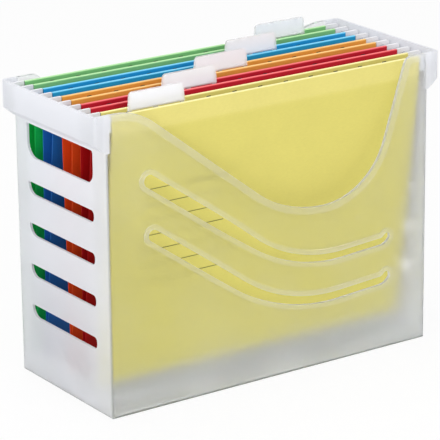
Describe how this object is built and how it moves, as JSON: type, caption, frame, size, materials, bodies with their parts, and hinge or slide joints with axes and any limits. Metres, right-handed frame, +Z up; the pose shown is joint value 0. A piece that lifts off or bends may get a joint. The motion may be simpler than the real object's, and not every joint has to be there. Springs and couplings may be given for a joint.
{
  "type": "portable file box",
  "caption": "Open-topped frosted box with scooped sides and handle windows, holding hanging card files on steel bars with index tabs.",
  "frame": {"origin": "centre of the bounding box's bottom face, on the surface that the box stands on", "axes": "+X to the right along the long side, front wall at -Y, +Z up"},
  "size_m": [0.354, 0.1476, 0.274],
  "materials": {
    "frosted_polypropylene": "frosted, moulded",
    "green_card": "dyed file card",
    "blue_card": "dyed file card",
    "orange_card": "dyed file card",
    "red_card": "dyed file card",
    "yellow_card": "dyed file card",
    "hanger_steel": "bright rolled strip",
    "white_hook_coating": "dip-coated",
    "clear_tab_plastic": "clear sheet",
    "slip_paper": "uncoated"
  },
  "bodies": {
    "box": {"box": "frosted_polypropylene"},
    "green_file": {"green_back_panel": "green_card", "green_back_bar": "hanger_steel", "green_back_hooks": "white_hook_coating"},
    "green_front": {"green_front_panel": "green_card", "green_front_bar": "hanger_steel", "green_front_hooks": "white_hook_coating"},
    "green_tab": {"green_index_tab": "clear_tab_plastic"},
    "green_slip": {"green_paper_slip": "slip_paper"},
    "blue_file": {"blue_back_panel": "blue_card", "blue_back_bar": "hanger_steel", "blue_back_hooks": "white_hook_coating"},
    "blue_front": {"blue_front_panel": "blue_card", "blue_front_bar": "hanger_steel", "blue_front_hooks": "white_hook_coating"},
    "blue_tab": {"blue_index_tab": "clear_tab_plastic"},
    "blue_slip": {"blue_paper_slip": "slip_paper"},
    "orange_file": {"orange_back_panel": "orange_card", "orange_back_bar": "hanger_steel", "orange_back_hooks": "white_hook_coating"},
    "orange_front": {"orange_front_panel": "orange_card", "orange_front_bar": "hanger_steel", "orange_front_hooks": "white_hook_coating"},
    "orange_tab": {"orange_index_tab": "clear_tab_plastic"},
    "orange_slip": {"orange_paper_slip": "slip_paper"},
    "red_file": {"red_back_panel": "red_card", "red_back_bar": "hanger_steel", "red_back_hooks": "white_hook_coating"},
    "red_front": {"red_front_panel": "red_card", "red_front_bar": "hanger_steel", "red_front_hooks": "white_hook_coating"},
    "red_tab": {"red_index_tab": "clear_tab_plastic"},
    "red_slip": {"red_paper_slip": "slip_paper"},
    "yellow_file": {"yellow_back_panel": "yellow_card", "yellow_back_bar": "hanger_steel", "yellow_back_hooks": "white_hook_coating"},
    "yellow_front": {"yellow_front_panel": "yellow_card", "yellow_front_bar": "hanger_steel", "yellow_front_hooks": "white_hook_coating"},
    "yellow_tab": {"yellow_index_tab": "clear_tab_plastic"},
    "yellow_slip": {"yellow_paper_slip": "slip_paper"}
  },
  "joints": [
    {"name": "green_file_lift", "type": "slide", "parent": "box", "child": "green_file", "axis": [0, 0, 1], "range_m": [0, 0.27]},
    {"name": "green_file_open", "type": "hinge", "parent": "green_file", "child": "green_front", "pos_m": [0, 0.06, 0.02], "axis": [1, 0, 0], "range_deg": [-1, 1.8]},
    {"name": "green_tab_unplug", "type": "slide", "parent": "green_file", "child": "green_tab", "axis": [0, -1, 0], "range_m": [0, 0.005]},
    {"name": "green_slip_pull", "type": "slide", "parent": "green_tab", "child": "green_slip", "axis": [-1, 0, 0], "range_m": [0, 0.056]},
    {"name": "blue_file_lift", "type": "slide", "parent": "box", "child": "blue_file", "axis": [0, 0, 1], "range_m": [0, 0.27]},
    {"name": "blue_file_open", "type": "hinge", "parent": "blue_file", "child": "blue_front", "pos_m": [0, 0.044, 0.02], "axis": [1, 0, 0], "range_deg": [-1, 1.4]},
    {"name": "blue_tab_unplug", "type": "slide", "parent": "blue_file", "child": "blue_tab", "axis": [0, -1, 0], "range_m": [0, 0.005]},
    {"name": "blue_slip_pull", "type": "slide", "parent": "blue_tab", "child": "blue_slip", "axis": [1, 0, 0], "range_m": [0, 0.056]},
    {"name": "orange_file_lift", "type": "slide", "parent": "box", "child": "orange_file", "axis": [0, 0, 1], "range_m": [0, 0.27]},
    {"name": "orange_file_open", "type": "hinge", "parent": "orange_file", "child": "orange_front", "pos_m": [0, 0.003, 0.02], "axis": [1, 0, 0], "range_deg": [-1, 1.8]},
    {"name": "orange_tab_unplug", "type": "slide", "parent": "orange_file", "child": "orange_tab", "axis": [0, -1, 0], "range_m": [0, 0.005]},
    {"name": "orange_slip_pull", "type": "slide", "parent": "orange_tab", "child": "orange_slip", "axis": [1, 0, 0], "range_m": [0, 0.056]},
    {"name": "red_file_lift", "type": "slide", "parent": "box", "child": "red_file", "axis": [0, 0, 1], "range_m": [0, 0.27]},
    {"name": "red_file_open", "type": "hinge", "parent": "red_file", "child": "red_front", "pos_m": [0, -0.016, 0.02], "axis": [1, 0, 0], "range_deg": [-1, 1.4]},
    {"name": "red_tab_unplug", "type": "slide", "parent": "red_file", "child": "red_tab", "axis": [0, -1, 0], "range_m": [0, 0.005]},
    {"name": "red_slip_pull", "type": "slide", "parent": "red_tab", "child": "red_slip", "axis": [1, 0, 0], "range_m": [0, 0.056]},
    {"name": "yellow_file_lift", "type": "slide", "parent": "box", "child": "yellow_file", "axis": [0, 0, 1], "range_m": [0, 0.27]},
    {"name": "yellow_file_open", "type": "hinge", "parent": "yellow_file", "child": "yellow_front", "pos_m": [0, -0.04, 0.02], "axis": [1, 0, 0], "range_deg": [-1, 0.15]},
    {"name": "yellow_tab_unplug", "type": "slide", "parent": "yellow_file", "child": "yellow_tab", "axis": [0, -1, 0], "range_m": [0, 0.005]},
    {"name": "yellow_slip_pull", "type": "slide", "parent": "yellow_tab", "child": "yellow_slip", "axis": [1, 0, 0], "range_m": [0, 0.056]}
  ]
}
